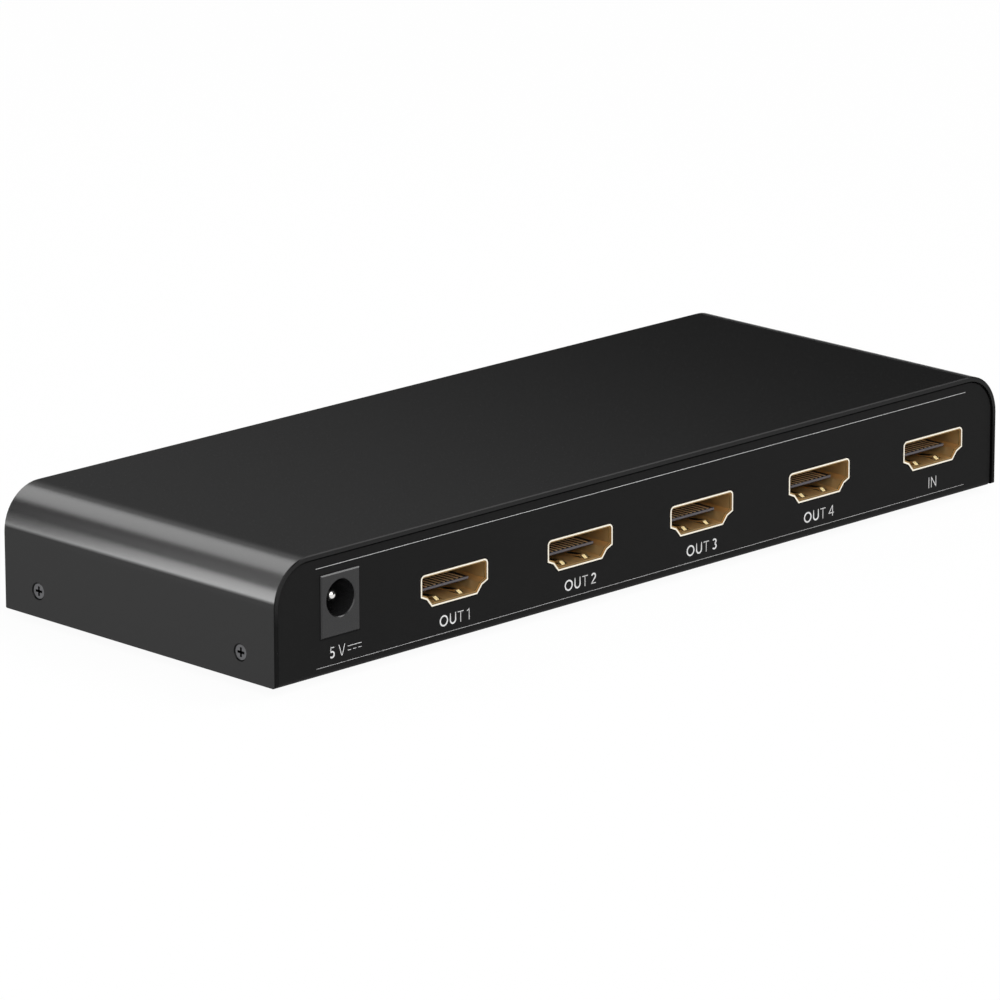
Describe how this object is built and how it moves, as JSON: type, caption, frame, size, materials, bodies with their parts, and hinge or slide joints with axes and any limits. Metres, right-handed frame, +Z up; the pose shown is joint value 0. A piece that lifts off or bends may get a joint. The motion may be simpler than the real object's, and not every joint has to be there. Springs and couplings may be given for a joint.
{
  "type": "hdmi splitter",
  "caption": "Low black sheet-metal box with a row of video sockets and a round power socket on one long side, which sends one video signal to several screens.",
  "frame": {"origin": "on the surface it stands on, under the middle of the case", "axes": "+X along the row of sockets, towards the input, +Y from the sockets to the status lights, +Z up"},
  "size_m": [0.17, 0.064, 0.0217],
  "materials": {
    "case_coat": "satin black coat",
    "screw_black": "black zinc",
    "foot_rubber": "matte black",
    "gold_plate": "bright plated",
    "socket_plastic": "moulded, satin",
    "jack_plastic": "moulded, satin",
    "nickel": "bright plated",
    "spring_steel": "plain",
    "board_laminate": "green solder mask",
    "standoff_brass": "turned",
    "tinned_metal": "tinned",
    "chip_epoxy": "moulded, matte",
    "pad_silicone": "soft, matte",
    "sink_aluminium": "extruded",
    "ferrite": "matte",
    "can_aluminium": "drawn, bright",
    "capacitor_base": "moulded",
    "capacitor_ceramic": "fired",
    "light_resin": "clear resin on white",
    "pipe_acrylic": "clear"
  },
  "bodies": {
    "root": {"top_cover": "case_coat", "base_tray": "case_coat", "cover_screws": "screw_black", "rubber_feet": "foot_rubber", "circuit_board": "board_laminate", "board_standoffs": "standoff_brass", "board_screws": "tinned_metal", "dc_jack_housing": "jack_plastic", "dc_jack_pin": "nickel", "dc_jack_spring": "spring_steel", "status_lights": "light_resin", "light_pipes": "pipe_acrylic", "splitter_chip": "chip_epoxy", "chip_leads": "tinned_metal", "thermal_pad": "pad_silicone", "heat_sink": "sink_aluminium", "display_memory": "chip_epoxy", "power_regulator": "chip_epoxy", "power_inductor": "ferrite", "capacitor_cans": "can_aluminium", "capacitor_bases": "capacitor_base", "clock_crystal": "can_aluminium", "surge_arrays": "chip_epoxy", "coupling_capacitors": "capacitor_ceramic", "output_1_shell": "gold_plate", "output_1_insulator": "socket_plastic", "output_1_contacts": "gold_plate", "output_2_shell": "gold_plate", "output_2_insulator": "socket_plastic", "output_2_contacts": "gold_plate", "output_3_shell": "gold_plate", "output_3_insulator": "socket_plastic", "output_3_contacts": "gold_plate", "output_4_shell": "gold_plate", "output_4_insulator": "socket_plastic", "output_4_contacts": "gold_plate", "input_shell": "gold_plate", "input_insulator": "socket_plastic", "input_contacts": "gold_plate"}
  },
  "joints": []
}
